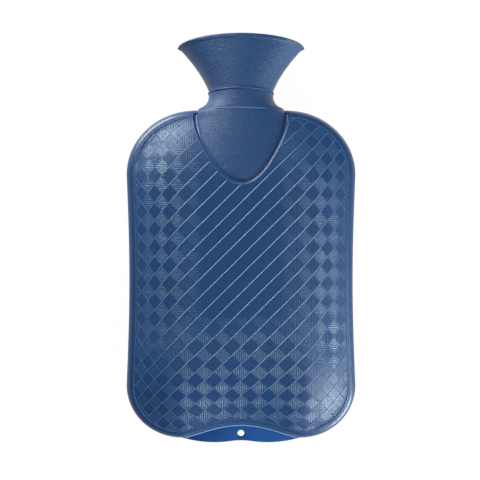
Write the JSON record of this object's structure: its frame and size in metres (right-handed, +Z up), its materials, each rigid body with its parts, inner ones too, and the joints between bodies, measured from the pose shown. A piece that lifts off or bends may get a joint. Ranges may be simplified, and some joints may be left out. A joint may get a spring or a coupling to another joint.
{
  "type": "hot water bottle",
  "caption": "Moulded thermoplastic hot water bottle with quilted pads on both faces, a wide filling funnel, a hanging tab and a screw stopper with its washer.",
  "frame": {"origin": "centre of the bounding box, at the surface that the bottle lies on", "axes": "+Y from the hanging tab to the filling funnel, +Z up through the bottle's thickness, +X to the right with the neck pointing away"},
  "size_m": [0.194, 0.34, 0.056],
  "materials": {
    "bottle_shell": "semi-gloss, navy blue, fine grain",
    "insert_plastic": "satin, pale grey",
    "stopper_plastic": "satin, dark blue",
    "washer_rubber": "matt, near black"
  },
  "bodies": {
    "bottle": {"bottle_body": "bottle_shell", "thread_insert": "insert_plastic"},
    "washer": {"stopper_washer": "washer_rubber"},
    "stopper": {"stopper": "stopper_plastic"}
  },
  "joints": [
    {"name": "stopper_rise", "type": "slide", "parent": "bottle", "child": "washer", "axis": [0, 1, 0], "range_m": [0, 0.015]},
    {"name": "stopper_turn", "type": "hinge", "parent": "washer", "child": "stopper", "pos_m": [0, 0, 0.028], "axis": [0, 1, 0], "range_deg": [0, 1080]}
  ],
  "couplings": [
    {"joint": "stopper_rise", "follows": "stopper_turn", "m_per_rad": 0.00079577}
  ]
}
